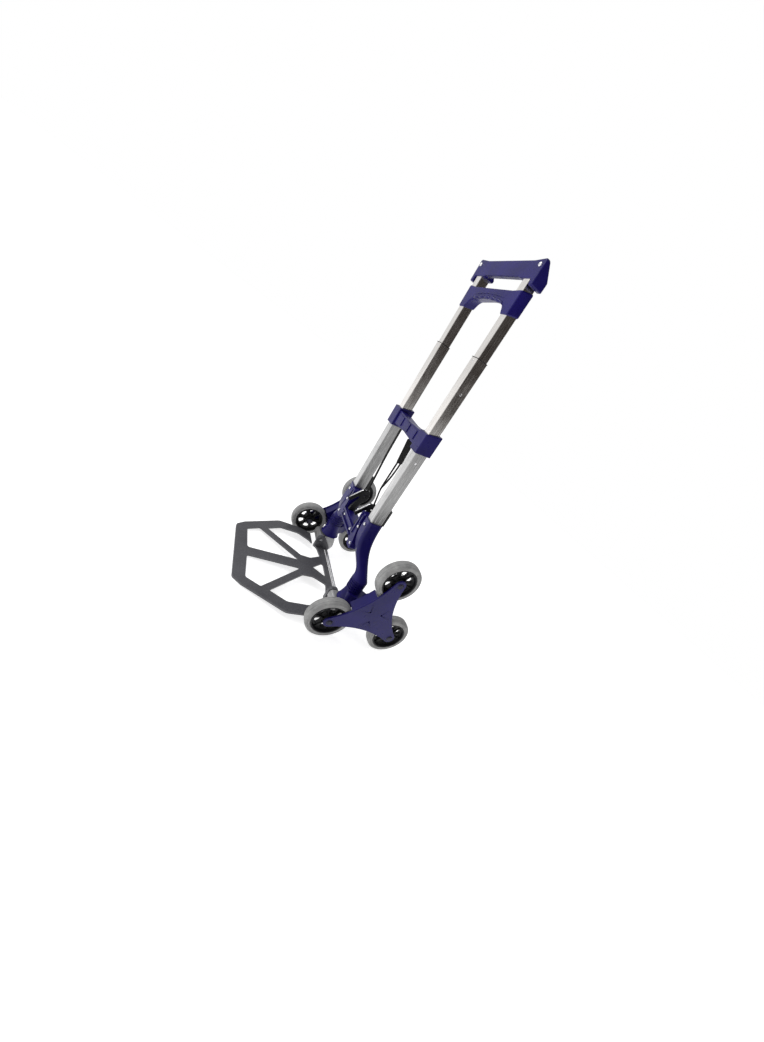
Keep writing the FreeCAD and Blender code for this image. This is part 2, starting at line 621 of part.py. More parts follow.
def toe_plate():
    """Cast toe plate: a hexagonal rim, a hub with spokes, and two ears up to the hinge pins."""
    body = body_named("toe_plate")
    half = [(117, -350, 14), (140, -326, 10), (209, -208, 30), (205, -130, 40), (186, -93, 4),
            (126, -93, 4), (126, -49, 2)]
    rim = half + mirrored(half)
    level = "sizes.plate_top - sizes.plate_thick"
    feature(body, "Pad", sketch_on(body, "XY_Plane", level, outline(rim)), "sizes.plate_thick")
    front_gap = [(17, -314, 8), (111, -316, 8), (135, -275, 5), (27, -157, 4), (18, -153, 4)]
    side_gap = [(143, -253, 5), (172, -203, 22), (170, -140, 26), (146, -103, 10), (110, -78, 12),
                (66, -71, 10), (44, -110, 20), (46, -144, 6)]
    rear_gap = [(0, -108, 2), (34, -66, 4), (-34, -66, 4)]
    gaps = outline(rear_gap)
    for corners in (front_gap, side_gap):
        gaps += outline(corners) + outline(mirrored(corners))
    cut(body, sketch_on(body, "XY_Plane", "sizes.plate_top", gaps), "sizes.plate_thick")
    axis_y, axis_z = -size("hinge_setback"), -size("hinge_drop")
    ear = [(axis_y - 12, PLATE_BOTTOM + 1, 1), (axis_y + 42, PLATE_BOTTOM + 1, 1),
           (axis_y + 42, PLATE_BOTTOM + 14, 5), (axis_y + 12, axis_z + 12, 11.9),
           (axis_y - 12, axis_z + 12, 11.9)]
    for side in SIDES.values():
        start = min(side * 118, side * 130)
        feature(body, "Pad", sketch_on(body, "YZ_Plane", start, outline(ear)), 12)
        start = "%d" % max(side * 110, side * 140)
        cut(body, circles(body, "YZ_Plane", start, [(axis_y, axis_z)], "sizes.hinge_pin"), 30)
        rod_spot = [(-size("rod_setback") - 4, -size("rod_drop"))]
        cut(body, circles(body, "YZ_Plane", start, rod_spot, "sizes.rod_radius"), 30)
    place(body, "toe_plate")


def rear_rod():
    """Bright rod along the toe plate's rear edge, held by the two ears."""
    rod = cylinder("plate_rod", "sizes.rod_radius", 260,
                   Vector(-130, -size("rod_setback") - 4, -size("rod_drop")), Vector(1, 0, 0))
    place(rod, "plate_rear_rod")


def hinge_pins():
    pins = []
    for side in SIDES.values():
        base = Vector(side * 118, -size("hinge_setback"), -size("hinge_drop"))
        pins.append(cylinder("hinge_pin", "sizes.hinge_pin", 40, base, Vector(side, 0, 0)))
    place(together("Compound", "hinge_pins", pins), "plate_hinge_pins")


# ---------------------------------------------------------------- handle and release grip

def release_grip():
    """Arched grip that slides on the inner tubes and draws the lock pins."""
    body = body_named("release_grip")
    half, sleeve = size("rail_half"), size("grip_wide") / 2
    bottom, top = size("grip_bottom"), size("grip_top")
    shape = [(-half - sleeve, bottom, 4), (-half + sleeve, bottom, 4), (-half + sleeve + 12, bottom + 20, 26),
             (0, bottom + 26, 180), (half - sleeve - 12, bottom + 20, 26), (half - sleeve, bottom, 4),
             (half + sleeve, bottom, 4), (half + sleeve, top, 4), (half - sleeve - 6, top - 3, 8),
             (6 + sleeve - half, top - 3, 8), (-half - sleeve, top, 4)]
    level = "sizes.rail_setback - sizes.grip_deep / 2"
    rise = GRIP_SLOPE * size("grip_deep") / 2
    raised = [(x, z + rise, radius) for x, z, radius in shape]
    skin = feature(body, "Pad", sketch_on(body, "XZ_Plane", level, outline(raised)), "sizes.grip_deep")
    skin.UseCustomVector = True
    skin.Direction = Vector(0, -1, -GRIP_SLOPE)
    doc.recompute()
    round_edges(body, skin, 3, lambda edge: upright(edge) and edge.Length > 30)
    for side in SIDES.values():
        slip = ["sizes.inner_%s + 2 * sizes.slide_gap" % item for item in ("wide", "deep")]
        cut(body, rectangle(body, "XY_Plane", "sizes.grip_top + 10", rail_axis(side), *slip), 80)
        cut(body, circles(body, "YZ_Plane", side * size("rail_half"), [(-size("rail_setback"), PULL_PIN)],
                          "sizes.pull_radius"), PULL_REACH, side < 0)
    place(body, "release_grip")


def handle_grip():
    """Top band of the handle, closed over the ends of the inner tubes."""
    body = body_named("handle_grip")
    half, bottom, top = size("band_half"), size("band_bottom"), size("band_top")
    shape = [(-half, top + 1, 5), (-half, bottom - 12, 3), (-half + 13, bottom - 12, 3),
             (-half + 15, bottom, 3), (14 - half + 38, bottom, 0), (-68, bottom + 2, 12),
             (68, bottom + 2, 12), (half - 52, bottom, 0), (half - 15, bottom, 3),
             (half - 13, bottom - 12, 3), (half, bottom - 12, 3), (half, top + 1, 5),
             (half - 40, top - 3, 60), (40 - half, top - 3, 60)]
    level = "sizes.rail_setback - sizes.band_deep / 2"
    skin = feature(body, "Pad", sketch_on(body, "XZ_Plane", level, outline(shape)), "sizes.band_deep")
    round_edges(body, skin, 2.5, lambda edge: edge.Curve.TypeId == "Part::GeomLine"
                and edge.Length > 60 and abs(edge.tangentAt(edge.FirstParameter).x) > 0.9)
    hollow = size("band_deep") - size("band_thick")
    cut(body, rectangle(body, "XY_Plane", "sizes.band_top + 5",
                        ("0", "sizes.band_deep / 2 - sizes.rail_setback - %g" % (hollow / 2)), "150",
                        "%g" % hollow), 60)
    middle, rear = -size("rail_setback"), size("band_deep") / 2 + 1
    wedge = [(middle + rear, bottom + 5, 0), (middle + rear, top + 4, 0), (middle - 12, top + 4, 0)]
    cut(body, sketch_on(body, "YZ_Plane", half + 1, outline(wedge)), "2 * sizes.band_half + 2")
    for side in SIDES.values():
        cut(body, rectangle(body, "XY_Plane", "sizes.inner_top", rail_axis(side), "sizes.inner_wide",
                            "sizes.inner_deep"), 60)
    spots = [(side * 118, 850) for side in SIDES.values()]
    cut(body, circles(body, "XZ_Plane", "sizes.rail_setback + 20", spots, "sizes.screw_radius"), 16)
    place(body, "handle_grip")


def release_rods():
    """Flat steel rods inside the tubes that carry the grip's pull, each with a pin into the grip."""
    rods = []
    foot, top = UPPER_PIN + 5, size("inner_top") - size("spring_length")
    for side in SIDES.values():
        rod = doc.addObject("Part::Box", "release_rod")
        rod.Length = 2
        rod.Width = 10
        rod.Height = top - foot
        rod.Placement = Placement(Vector(side * size("rail_half") - 1, -size("rail_setback") - 5, foot),
                                  Rotation())
        pin = cylinder("pull_pin", "sizes.pull_radius", PULL_REACH,
                       Vector(side * size("rail_half"), -size("rail_setback"), PULL_PIN), Vector(-side, 0, 0))
        rods.append(together("MultiFuse", "rod_with_pin", [rod, pin]))
    place(together("Compound", "release_rods", rods), "release_rods")


def release_springs():
    """Coil springs between the handle and the release rods, inside the inner tubes."""
    springs = []
    wire = size("spring_wire")
    for side in SIDES.values():
        helix = doc.addObject("Part::Helix", "spring_path")
        helix.Pitch = 6
        helix.setExpression("Height", "sizes.spring_length - 2 * sizes.spring_wire")
        helix.setExpression("Radius", "sizes.spring_radius")
        ring = doc.addObject("Part::Circle", "spring_ring")
        ring.setExpression("Radius", "sizes.spring_wire")
        ring.Placement = Placement(Vector(size("spring_radius"), 0, 0), Rotation(Vector(1, 0, 0), 90))
        doc.recompute()
        coil = doc.addObject("Part::Sweep", "spring_coil")
        coil.Sections = [ring]
        coil.Spine = (helix, ["Edge%d" % (number + 1) for number in range(len(helix.Shape.Edges))])
        coil.Solid = True
        coil.Frenet = True
        doc.recompute()
        foot = size("inner_top") - size("spring_length") + wire
        coil.Placement = Placement(Vector(side * size("rail_half"), -size("rail_setback"), foot),
                                   Rotation())
        springs.append(coil)
    place(together("Compound", "release_springs", springs), "release_springs")


# ---------------------------------------------------------------- straps, hooks and pads

HOOK_EYE = (-61, 196)
HOOK_TOP = (-65, 213.5)


def cord_hook(name, side):
    """Black moulded hook on the cross member, with an eye for the elastic strap."""
    body = body_named("cord_hook_" + name)
    middle, thick = side * size("cord_half"), 9
    shape = [(-88, 134.5, 2), (-68, 134.5, 2), (-62, 165, 10), (-48, 184, 6), (-48, 204, 6),
             (-58, 214, 5), (-75, 213, 6), (-107, 171, 3), (-99, 163, 3), (-75, 193, 3), (-74, 180, 4),
             (-86, 150, 8)]
    slab = feature(body, "Pad", sketch_on(body, "YZ_Plane", middle - thick / 2, outline(shape)), thick)
    round_edges(body, slab, 2, lambda edge: edge.Length > 20 and edge.CenterOfMass.z > 165
                and abs(abs(edge.CenterOfMass.x - middle) - thick / 2) < 0.1)
    cut(body, circles(body, "YZ_Plane", middle + thick / 2 + 1, [HOOK_EYE], 5), thick + 2)
    place(body, "cord_hook_" + name)


def round_cord(points, radius):
    """Cord through the points, with a ball in each bend."""
    cord = Part.makeSphere(radius, points[0])
    for start, end in zip(points, points[1:]):
        straight = Part.makeCylinder(radius, (end - start).Length, start, end - start)
        cord = cord.fuse([straight, Part.makeSphere(radius, end)])
    return cord


def elastic_straps():
    """Elastic straps from the bracket's bar down to the hooks: a flat band that parts into two
    cords on the right, and a single cord on the left."""
    x, thick, radius = size("cord_half"), 4, 2.5
    bar_face = (size("bracket_bottom") + size("bracket_top")) / 2 - 18.1
    eye = Vector(0, HOOK_TOP[0], HOOK_TOP[1] + radius)
    band = [(-86, bar_face, 0), (-62, bar_face, 0), (-58, 350, 3), (-77, 350, 3)]
    wire = Part.Wire(Part.__sortEdges__([edge.toShape() for edge in outline(band)]))
    near = Part.Face(wire).extrude(Vector(0, 0, thick))
    near.translate(Vector(0, 0, -thick / 2))
    near.transformShape(Placement(Vector(), Rotation(Vector(0, 1, 0), Vector(0, 0, 1), Vector(1, 0, 0),
                                                     "ZXY")).toMatrix())
    meeting = Vector(0, -74, 264)
    near = near.fuse([round_cord([Vector(0, -73, 353), meeting, eye], radius),
                      round_cord([Vector(0, -63, 353), Vector(0, -66, 305), meeting], radius)])
    near.translate(Vector(x, 0, 0))
    far = round_cord([Vector(0, -75, bar_face - radius), Vector(0, -73, 353), eye], radius)
    far.translate(Vector(-x, 0, 0))
    straps = []
    for name, shape in (("strap_right", near), ("strap_left", far)):
        strap = doc.addObject("Part::Feature", name)
        strap.Shape = shape.removeSplitter()
        straps.append(strap)
    place(together("Compound", "elastic_straps", straps), "elastic_straps")


def rear_pads():
    """Rubber bars on the backs of the lower tubes, for resting the trolley on a step."""
    pads, wide = [], 28
    for side in SIDES.values():
        pad = doc.addObject("Part::Box", "rear_pad")
        pad.Length = wide
        pad.Width = 7
        pad.Height = 50
        pad.Placement = Placement(Vector(side * size("rail_half") - wide / 2,
                                         size("lower_deep") / 2 - size("rail_setback"),
                                         size("leg_top")), Rotation())
        pads.append(pad)
    place(together("Compound", "rear_pads", pads), "rear_pads")


def build():
    for name, side in SIDES.items():
        lower_tube(name, side)
        middle_tube(name, side)
        inner_tube(name, side)
        leg(name, side)
        wheel_bracket(name, side)
        star_axle(name, side)
        star_inner_plate(name, side)
        star_outer_plate(name, side)
        star_body(name, side)
        star_bolts(name, side)
        for spot, turn in WHEELS.items():
            wheel(name, side, spot, turn)
        hinge_block(name, side)
        cord_hook(name, side)
        lock_pin(name, side, "upper", UPPER_PIN, 2, 11.9)
        lock_pin(name, side, "lower", LOWER_PIN, 4, 13.9)
    lining = ["%s - 2 * %s" % ("sizes.lower_" + item, "sizes.lower_wall") for item in ("wide", "deep")]
    slip = ["sizes.middle_%s + 2 * sizes.slide_gap" % item for item in ("wide", "deep")]
    liners("tube_bushes", ("sizes.lower_top - 28", "sizes.lower_top"), lining, slip)
    collar = ["sizes.middle_%s - 2 * sizes.middle_wall" % item for item in ("wide", "deep")]
    slip = ["sizes.inner_%s + 2 * sizes.slide_gap" % item for item in ("wide", "deep")]
    liners("middle_collars", ("sizes.middle_top - 25", "sizes.middle_top"), collar, slip,
           ("sizes.middle_wide", "sizes.middle_deep"))
    mid_bracket()
    cross_member()
    pivot_pins()
    toe_plate()
    rear_rod()
    hinge_pins()
    release_grip()
    handle_grip()
    release_rods()
    release_springs()
    elastic_straps()
    rear_pads()
    bar_face = -size("rail_setback") - 20
    cheek_face = -size("rail_setback") - 22
    spots = [Vector(x, bar_face, z) for x, z in BAR_SCREWS]
    spots += [Vector(x, cheek_face, z) for x, z in CHEEK_SCREWS]
    spots += [Vector(side * size("rail_half"), -90, LEG_SCREW) for side in SIDES.values()]
    screws("cross_member_screws", spots, Vector(0, 1, 0), 7)
    handle_face = -size("rail_setback") - size("band_deep") / 2
    screws("handle_screws", [Vector(side * 118, handle_face, 850) for side in SIDES.values()],
           Vector(0, 1, 0), 10)


def check_and_export():
    """Stop on any failed object, then write each sub-part to its own STEP file."""
    doc.recompute()
    for item in doc.Objects:
        if "Invalid" in item.State or "Error" in item.State:
            raise RuntimeError("%s failed: %s" % (item.Name, item.State))
    os.makedirs("parts", exist_ok=True)
    for item in SUBPARTS:
        shape = item.Shape
        if shape.isNull() or not shape.isValid() or not shape.Solids:
            raise RuntimeError("%s has no valid solid" % item.Label)
        shape.exportStep("parts/%s.step" % item.Label)
        print("%-24s %d solids %8.1f cm3" % (item.Label, len(shape.Solids), shape.Volume / 1000))


build()
check_and_export()
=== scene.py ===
import json
import math

import bmesh
import bpy
from mathutils import Matrix, Vector

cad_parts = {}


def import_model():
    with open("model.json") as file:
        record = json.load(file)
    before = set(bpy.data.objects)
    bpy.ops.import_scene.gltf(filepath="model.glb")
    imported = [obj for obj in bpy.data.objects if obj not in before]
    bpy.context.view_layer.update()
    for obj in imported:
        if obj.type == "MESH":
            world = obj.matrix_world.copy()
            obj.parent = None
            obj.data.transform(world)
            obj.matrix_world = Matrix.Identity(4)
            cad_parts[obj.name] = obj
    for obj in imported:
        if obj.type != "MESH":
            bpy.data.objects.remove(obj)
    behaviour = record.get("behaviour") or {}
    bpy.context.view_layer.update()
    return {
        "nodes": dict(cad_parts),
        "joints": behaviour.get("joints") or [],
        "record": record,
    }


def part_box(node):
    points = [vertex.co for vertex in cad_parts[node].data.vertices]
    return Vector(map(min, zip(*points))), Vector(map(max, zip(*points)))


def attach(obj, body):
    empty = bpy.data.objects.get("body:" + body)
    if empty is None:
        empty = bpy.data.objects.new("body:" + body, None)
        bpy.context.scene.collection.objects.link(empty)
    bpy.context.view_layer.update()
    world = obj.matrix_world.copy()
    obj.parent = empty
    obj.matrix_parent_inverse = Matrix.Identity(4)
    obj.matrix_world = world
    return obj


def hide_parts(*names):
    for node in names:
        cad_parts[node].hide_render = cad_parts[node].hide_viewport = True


# Looks of the stair climbing trolley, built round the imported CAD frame. Places are given in
# millimetres in the rails' own frame: X to the right as seen from the load side, Y towards the user,
# Z up along the rails, with the origin midway between the two star axles.

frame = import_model()

joints = {joint["name"]: joint for joint in frame["joints"]}
SIDES = {"left": -1, "right": 1}
MM = 0.001
RAIL_UP = -Vector(joints["middle_slide"]["axis"])
LEAN = math.atan2(-RAIL_UP.y, RAIL_UP.z)
AXLES = [Vector(joints["star_spin_" + side]["pos_m"]) for side in SIDES]
STANCE = Matrix.Translation((AXLES[0] + AXLES[1]) / 2) @ Matrix.Rotation(LEAN, 4, "X")

RAIL_HALF, RAIL_SETBACK = 99, 68
CORD_HALF = 40


def at(x, y, z):
    """World point of a place in the rails' frame."""
    return STANCE @ (Vector((x, y, z)) * MM)


# ---------------------------------------------------------------- camera, floor and light

def camera():
    """Camera at the photograph's angle, wide and rolled, with no shift."""
    data = bpy.data.cameras.new("camera")
    data.sensor_width = 36
    data.lens = 12.27
    data.clip_start = 0.01
    place = Vector((0.8558, -0.4969, 0.6346))
    aim = Vector((0.0744, 0.0348, 0.3078))
    roll = math.radians(-38.79)
    item = bpy.data.objects.new("camera", data)
    turn = (aim - place).to_track_quat("-Z", "Y").to_matrix().to_4x4()
    item.matrix_world = Matrix.Translation(place) @ turn @ Matrix.Rotation(-roll, 4, "Z")
    bpy.context.scene.collection.objects.link(item)
    bpy.context.scene.camera = item


def area_light(name, place, aim, size, power, colour=(1, 1, 1)):
    data = bpy.data.lights.new(name, "AREA")
    data.shape = "DISK"
    data.size = size
    data.energy = power
    data.color = colour
    item = bpy.data.objects.new(name, data)
    direction = Vector(aim) - Vector(place)
    item.matrix_world = Matrix.Translation(place) @ direction.to_track_quat("-Z", "Y").to_matrix().to_4x4()
    bpy.context.scene.collection.objects.link(item)


class Nodes:
    """Short ways to build a node tree."""

    def __init__(self, tree):
        self.tree = tree

    def add(self, kind, **settings):
        """New node. A setting is one of its attributes, or else a socket to set or link."""
        node = self.tree.nodes.new(kind)
        for key, given in settings.items():
            if hasattr(node, key):
                setattr(node, key, given)
            else:
                self.feed(node.inputs[key], given)
        return node

    def feed(self, socket, given):
        if isinstance(given, bpy.types.NodeSocket):
            self.tree.links.new(given, socket)
        elif isinstance(given, (tuple, list)) and len(given) == 3 and socket.type == "RGBA":
            socket.default_value = (*given, 1)
        else:
            socket.default_value = given

    def math(self, operation, first, second=0.0):
        node = self.add("ShaderNodeMath", operation=operation)
        self.feed(node.inputs[0], first)
        self.feed(node.inputs[1], second)
        return node.outputs[0]

    def blend(self, amount, first, second):
        """Colour that runs from first to second as amount goes from 0 to 1."""
        node = self.add("ShaderNodeMix", data_type="RGBA")
        sockets = {item.identifier: item for item in node.inputs}
        self.feed(sockets["Factor_Float"], amount)
        self.feed(sockets["A_Color"], first)
        self.feed(sockets["B_Color"], second)
        return next(item for item in node.outputs if item.identifier == "Result_Color")

    def span(self, value, low, high, start=0.0, end=1.0):
        """Value from low to high, carried to start to end and held there."""
        node = self.add("ShaderNodeMapRange", clamp=True)
        for index, given in enumerate((value, low, high, start, end)):
            self.feed(node.inputs[index], given)
        return node.outputs[0]

    def rail_coordinates(self, stretch=(1, 1, 1)):
        """Object coordinates turned into the rails' frame and scaled, in metres."""
        source = self.add("ShaderNodeTexCoord")
        turned = self.add("ShaderNodeMapping", vector_type="TEXTURE", Vector=source.outputs["Object"])
        turned.inputs["Rotation"].default_value = (LEAN, 0, 0)
        scaled = self.add("ShaderNodeMapping", Vector=turned.outputs[0])
        scaled.inputs["Scale"].default_value = stretch
        return scaled.outputs[0]

    def noise(self, scale, detail=3.0, stretch=(1, 1, 1), roughness=0.5):
        node = self.add("ShaderNodeTexNoise", Vector=self.rail_coordinates(stretch))
        node.inputs["Scale"].default_value = scale
        node.inputs["Detail"].default_value = detail
        node.inputs["Roughness"].default_value = roughness
        return node.outputs[0]

    def bump(self, height, distance, strength=1.0, under=None):
        node = self.add("ShaderNodeBump", Height=height)
        node.inputs["Distance"].default_value = distance
        node.inputs["Strength"].default_value = strength
        if under:
            self.feed(node.inputs["Normal"], under)
        return node.outputs[0]


def world():
    """Pale studio: white behind the object, and for reflections bright at the front left and from
    above, dim at the rear right."""
    scene_world = bpy.data.worlds.new("studio")
    bpy.context.scene.world = scene_world
    scene_world.use_nodes = True
    scene_world.node_tree.nodes.clear()
    nodes = Nodes(scene_world.node_tree)
    way = nodes.add("ShaderNodeTexCoord").outputs["Generated"]
    towards = nodes.add("ShaderNodeVectorMath", operation="DOT_PRODUCT")
    nodes.feed(towards.inputs[0], way)
    towards.inputs[1].default_value = (-0.74, -0.66, 0.1)
    side = nodes.span(towards.outputs["Value"], -0.35, 0.45)
    room = nodes.blend(side, (0.14, 0.12, 0.11), (1.5, 1.5, 1.5))
    height = nodes.add("ShaderNodeSeparateXYZ", Vector=way).outputs["Z"]
    room = nodes.blend(nodes.span(height, 0.35, 0.8), room, (0.9, 0.9, 0.92))
    sky = nodes.add("ShaderNodeBackground", Color=room, Strength=0.55)
    seen = nodes.add("ShaderNodeBackground", Color=(1, 1, 1), Strength=1.0)
    mix = nodes.add("ShaderNodeMixShader")
    nodes.feed(mix.inputs[0], nodes.add("ShaderNodeLightPath").outputs["Is Camera Ray"])
    nodes.feed(mix.inputs[1], sky.outputs[0])
    nodes.feed(mix.inputs[2], seen.outputs[0])
    nodes.add("ShaderNodeOutputWorld", Surface=mix.outputs[0])


def studio():
    bpy.context.scene.view_settings.view_transform = "Standard"
    world()
    area_light("key", (-0.9, -1.7, 2.1), (0, -0.1, 0.4), 1.3, 26)
    area_light("fill", (2.0, -1.3, 1.3), (0, 0, 0.3), 1.4, 3)
    area_light("rim", (0.4, 1.9, 1.9), (0, 0, 0.5), 1.2, 9)


# ---------------------------------------------------------------- materials

def finish_of(name, roughness, metallic=0.0, **constants):
    """Empty material with a Principled shader, whose even values are set on its own sockets."""
    material = bpy.data.materials.new(name)
    material.use_nodes = True
    nodes = Nodes(material.node_tree)
    shader = material.node_tree.nodes["Principled BSDF"]
    shader.inputs["Metallic"].default_value = metallic
    shader.inputs["Roughness"].default_value = roughness
    for key, given in constants.items():
        shader.inputs[key.replace("_", " ").title()].default_value = given
    return material, nodes, shader


def moulded(name, dark, light, roughness, grain=0.00008):
    """Moulded plastic: cloudy colour, a fine mould grain and uneven gloss."""
    material, nodes, shader = finish_of(name, roughness)
    shader.inputs["Specular IOR Level"].default_value = 0.22
    clouds = nodes.noise(14, 4)
    nodes.feed(shader.inputs["Base Color"], nodes.blend(nodes.span(clouds, 0.3, 0.7), dark, light))
    smears = nodes.noise(45, 5, roughness=0.65)
    nodes.feed(shader.inputs["Roughness"], nodes.span(smears, 0.3, 0.7, roughness - 0.07, roughness + 0.08))
    skin = nodes.bump(nodes.noise(1500, 2), grain)
    nodes.feed(shader.inputs["Normal"], nodes.bump(clouds, 0.0004, 0.5, skin))
    return material


def drawn_metal(name, dark, light, roughness, streak, painted_flank_shade):
    """Drawn aluminium: fine lines along the rail, faint handling marks, and painted shade on the flanks, a
    darker tone that stands in for the dark reflection of the room on the tubes' sides.
    """
    material, nodes, shader = finish_of(name, roughness, 1.0)
    lines = nodes.noise(900, 2, (1, 1, 0.012))
    marks = nodes.noise(22, 6, roughness=0.7)
    shade = nodes.blend(nodes.span(lines, 0.3, 0.7), dark, light)
    across = nodes.add("ShaderNodeSeparateXYZ", Vector=nodes.add("ShaderNodeNewGeometry").outputs["Normal"])
    flank_shade_mask = nodes.math("ABSOLUTE", across.outputs["X"])
    # painted shade: faces turned sideways (the tubes' flanks) are blended towards the darker flank colour,
    # standing in for the dark reflection they catch from the room
    shade = nodes.blend(nodes.span(flank_shade_mask, 0.6, 0.85), shade, nodes.blend(lines, painted_flank_shade, shade))
    worn = nodes.span(marks, 0.55, 0.75, 0.0, 0.3)
    nodes.feed(shader.inputs["Base Color"], nodes.blend(worn, shade, dark))
    nodes.feed(shader.inputs["Roughness"], nodes.span(marks, 0.3, 0.75, roughness - 0.04, roughness + 0.1))
    nodes.feed(shader.inputs["Normal"], nodes.bump(lines, streak, 0.6))
    return material


def bright_steel(name, dark, light, roughness):
    """Zinc-bright steel with a mottled bloom and small scratches."""
    material, nodes, shader = finish_of(name, roughness, 1.0)
    bloom = nodes.noise(60, 5, roughness=0.7)
    nodes.feed(shader.inputs["Base Color"], nodes.blend(nodes.span(bloom, 0.3, 0.7), dark, light))
    nodes.feed(shader.inputs["Roughness"], nodes.span(bloom, 0.3, 0.7, roughness - 0.05, roughness + 0.1))
    nodes.feed(shader.inputs["Normal"], nodes.bump(nodes.noise(700, 3), 0.00003))
    return material


def hammered(name, dark, light, roughness, metallic, pitch=650, depth=0.00012):
    """Cast or powder-coated metal: pebbled skin, speckle, and darker hollows."""
    material, nodes, shader = finish_of(name, roughness, metallic)
    pebbles = nodes.add("ShaderNodeTexVoronoi", Vector=nodes.rail_coordinates())
    pebbles.inputs["Scale"].default_value = pitch
    speckle = nodes.noise(260, 4, roughness=0.7)
    clouds = nodes.noise(11, 4)
    shade = nodes.math("ADD", nodes.math("MULTIPLY", speckle, 0.6), nodes.math("MULTIPLY", clouds, 0.4))
    nodes.feed(shader.inputs["Base Color"], nodes.blend(nodes.span(shade, 0.35, 0.65), dark, light))
    nodes.feed(shader.inputs["Roughness"], nodes.span(clouds, 0.3, 0.7, roughness - 0.06, roughness + 0.06))
    skin = nodes.bump(pebbles.outputs["Distance"], depth, 0.7)
    nodes.feed(shader.inputs["Normal"], nodes.bump(speckle, 0.0001, 0.5, skin))
    return material


def rubber(name, dark, light, roughness=0.62):
    """Solid rubber: matt, dusty in patches, with a fine bloom."""
    material, nodes, shader = finish_of(name, roughness, sheen_weight=0.08, sheen_roughness=0.5)
    dust = nodes.noise(30, 6, roughness=0.7)
    nodes.feed(shader.inputs["Base Color"], nodes.blend(nodes.span(dust, 0.35, 0.68), dark, light))
    nodes.feed(shader.inputs["Roughness"], nodes.span(dust, 0.3, 0.7, roughness - 0.1, roughness + 0.12))
    fine = nodes.bump(nodes.noise(1100, 3), 0.00006)
    nodes.feed(shader.inputs["Normal"], nodes.bump(dust, 0.0002, 0.4, fine))
    return material


def woven(name, dark, light, pitch):
    """Woven elastic: fine ribs across and along the strap."""
    material, nodes, shader = finish_of(name, 0.85, sheen_weight=0.05, sheen_roughness=0.4)
    ribs = []
    for axis in ("Y", "Z"):
        wave = nodes.add("ShaderNodeTexWave", Vector=nodes.rail_coordinates(), bands_direction=axis)
        wave.inputs["Scale"].default_value = pitch
        wave.inputs["Distortion"].default_value = 0.6
        ribs.append(wave.outputs[1])
    weave = nodes.math("MULTIPLY", *ribs)
    nodes.feed(shader.inputs["Base Color"], nodes.blend(weave, dark, light))
    nodes.feed(shader.inputs["Normal"], nodes.bump(weave, 0.0004, 0.8))
    return material


MATERIALS = {
    "blue_plastic": moulded("blue_plastic", (0.005, 0.003, 0.072), (0.01, 0.006, 0.115), 0.32),
    # The last colour of each drawn metal is painted shade for the flanks: the dark reflection of the room
    # put into their colour.
    "satin_aluminium": drawn_metal("satin_aluminium", (0.4, 0.4, 0.4), (0.62, 0.62, 0.62), 0.4,
                                   0.00002, (0.22, 0.22, 0.22)),
    "polished_aluminium": drawn_metal("polished_aluminium", (0.7, 0.67, 0.64), (0.9, 0.88, 0.86), 0.2,
                                      0.00001, (0.035, 0.025, 0.02)),
    "steel": bright_steel("steel", (0.55, 0.55, 0.57), (0.85, 0.85, 0.86), 0.2),
    "black_steel": bright_steel("black_steel", (0.02, 0.02, 0.03), (0.06, 0.06, 0.08), 0.3),
    "grey_casting": hammered("grey_casting", (0.22, 0.22, 0.225), (0.42, 0.42, 0.42), 0.36, 0.6),
    "plate_grey": hammered("plate_grey", (0.055, 0.055, 0.062), (0.12, 0.12, 0.13), 0.45, 0.25),
    "grey_tyre": rubber("grey_tyre", (0.2, 0.2, 0.2), (0.36, 0.36, 0.355)),
    "black_plastic": moulded("black_plastic", (0.004, 0.004, 0.005), (0.01, 0.01, 0.012), 0.4),
    "black_rubber": rubber("black_rubber", (0.008, 0.008, 0.008), (0.022, 0.021, 0.02)),
    "black_webbing": woven("black_webbing", (0.003, 0.003, 0.003), (0.014, 0.014, 0.015), 600),
}
SLOT_OF = {entry["node"]: entry["material_slot"] for entry in frame["record"]["subparts"]}


# ---------------------------------------------------------------- mesh helpers

def paint(item, slot):
    item.data.materials.clear()
    item.data.materials.append(MATERIALS[slot])


def soften(item, width, segments=2):
    """Weld the mesh and roll over its hard edges."""
    weld = item.modifiers.new("weld", "WELD")
    weld.merge_threshold = 0.00001
    bevel = item.modifiers.new("bevel", "BEVEL")
    bevel.width = width * MM
    bevel.segments = segments
    bevel.limit_method = "ANGLE"
    bevel.angle_limit = math.radians(38)
    bevel.use_clamp_overlap = True
    bevel.harden_normals = False
    for face in item.data.polygons:
        face.use_smooth = True
    even = item.modifiers.new("even", "WEIGHTED_NORMAL")
    even.keep_sharp = True


def finished(name, mesh, body, slot, looks=None, replaces=()):
    """Object of a bmesh that rides on a body and takes a slot's finish."""
    data = bpy.data.meshes.new(name)
    bmesh.ops.recalc_face_normals(mesh, faces=mesh.faces)
    mesh.to_mesh(data)
    mesh.free()
    for face in data.polygons:
        face.use_smooth = True
    item = bpy.data.objects.new(name, data)
    bpy.context.scene.collection.objects.link(item)
    paint(item, looks or slot)
    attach(item, body)
    if replaces:
        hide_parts(*replaces)
    return item


def skin(mesh, rings):
    """Faces from each closed ring of points to the next."""
    for first, second in zip(rings, rings[1:]):
        for step in range(len(first)):
            following = (step + 1) % len(first)
            mesh.faces.new((first[step], first[following], second[following], second[step]))


def lathe(mesh, profile, place, steps):
    """Add a ring-shaped skin: (x, radius) points in millimetres turned about the X axis of place."""
    rings = []
    for x, radius in profile:
        ring = []
        for step in range(steps):
            angle = 2 * math.pi * step / steps
            point = Vector((x, radius * math.cos(angle), radius * math.sin(angle))) * MM
            ring.append(mesh.verts.new(place @ point))
        rings.append(ring)
    skin(mesh, rings)
    return rings


def cap(mesh, ring):
    mesh.faces.new(ring)


